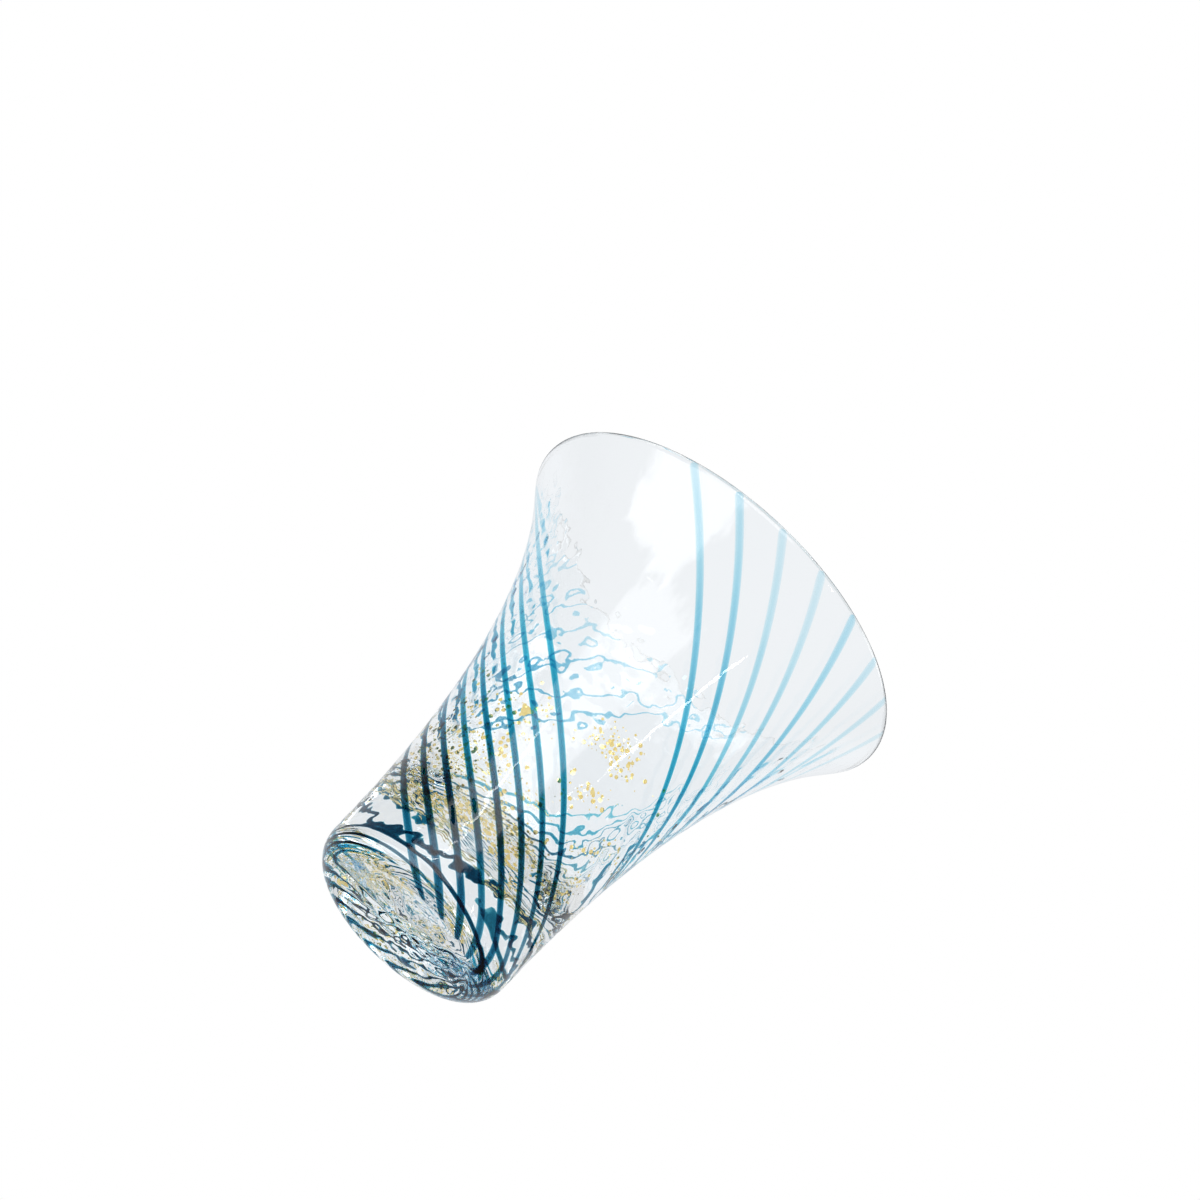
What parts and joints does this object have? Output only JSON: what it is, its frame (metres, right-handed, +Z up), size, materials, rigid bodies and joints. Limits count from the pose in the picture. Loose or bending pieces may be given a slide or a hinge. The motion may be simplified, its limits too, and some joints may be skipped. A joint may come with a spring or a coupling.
{
  "type": "sake cup",
  "caption": "Flared blown glass sake cup with a thick rounded foot, coloured glass threads twisting round its outside and gold leaf between its layers.",
  "frame": {"origin": "centre of the flat underside that the cup stands on", "axes": "+Z up along the cup's axis, towards the mouth; -Y is the side with the middle of the first band of threads at the lip"},
  "size_m": [0.07, 0.07, 0.0775],
  "materials": {
    "clear_glass": "fire-polished clear glass, slightly wavy",
    "thread_glass": "fused blue-green glass, paler where it is drawn thin at the lip",
    "gold_leaf": "torn gold leaf inside the glass"
  },
  "bodies": {
    "root": {"outer_gather": "clear_glass", "inner_gather": "clear_glass", "thread_01": "thread_glass", "thread_02": "thread_glass", "thread_03": "thread_glass", "thread_04": "thread_glass", "thread_05": "thread_glass", "thread_06": "thread_glass", "thread_07": "thread_glass", "thread_08": "thread_glass", "thread_09": "thread_glass", "thread_10": "thread_glass", "thread_11": "thread_glass", "thread_12": "thread_glass", "thread_13": "thread_glass", "thread_14": "thread_glass", "thread_15": "thread_glass", "thread_16": "thread_glass", "gold_leaf_01": "gold_leaf", "gold_leaf_02": "gold_leaf", "gold_leaf_03": "gold_leaf", "gold_leaf_04": "gold_leaf", "gold_leaf_05": "gold_leaf", "gold_leaf_06": "gold_leaf", "gold_leaf_07": "gold_leaf", "gold_leaf_08": "gold_leaf", "gold_leaf_09": "gold_leaf", "gold_leaf_10": "gold_leaf", "gold_leaf_11": "gold_leaf", "gold_leaf_12": "gold_leaf", "gold_leaf_13": "gold_leaf", "gold_leaf_14": "gold_leaf", "gold_leaf_15": "gold_leaf", "gold_leaf_16": "gold_leaf", "gold_leaf_17": "gold_leaf", "gold_leaf_18": "gold_leaf", "gold_leaf_19": "gold_leaf", "gold_leaf_20": "gold_leaf", "gold_leaf_21": "gold_leaf", "gold_leaf_22": "gold_leaf", "gold_leaf_23": "gold_leaf", "gold_leaf_24": "gold_leaf", "gold_leaf_25": "gold_leaf", "gold_leaf_26": "gold_leaf", "gold_leaf_27": "gold_leaf", "gold_leaf_28": "gold_leaf", "gold_leaf_29": "gold_leaf", "gold_leaf_30": "gold_leaf"}
  },
  "joints": []
}
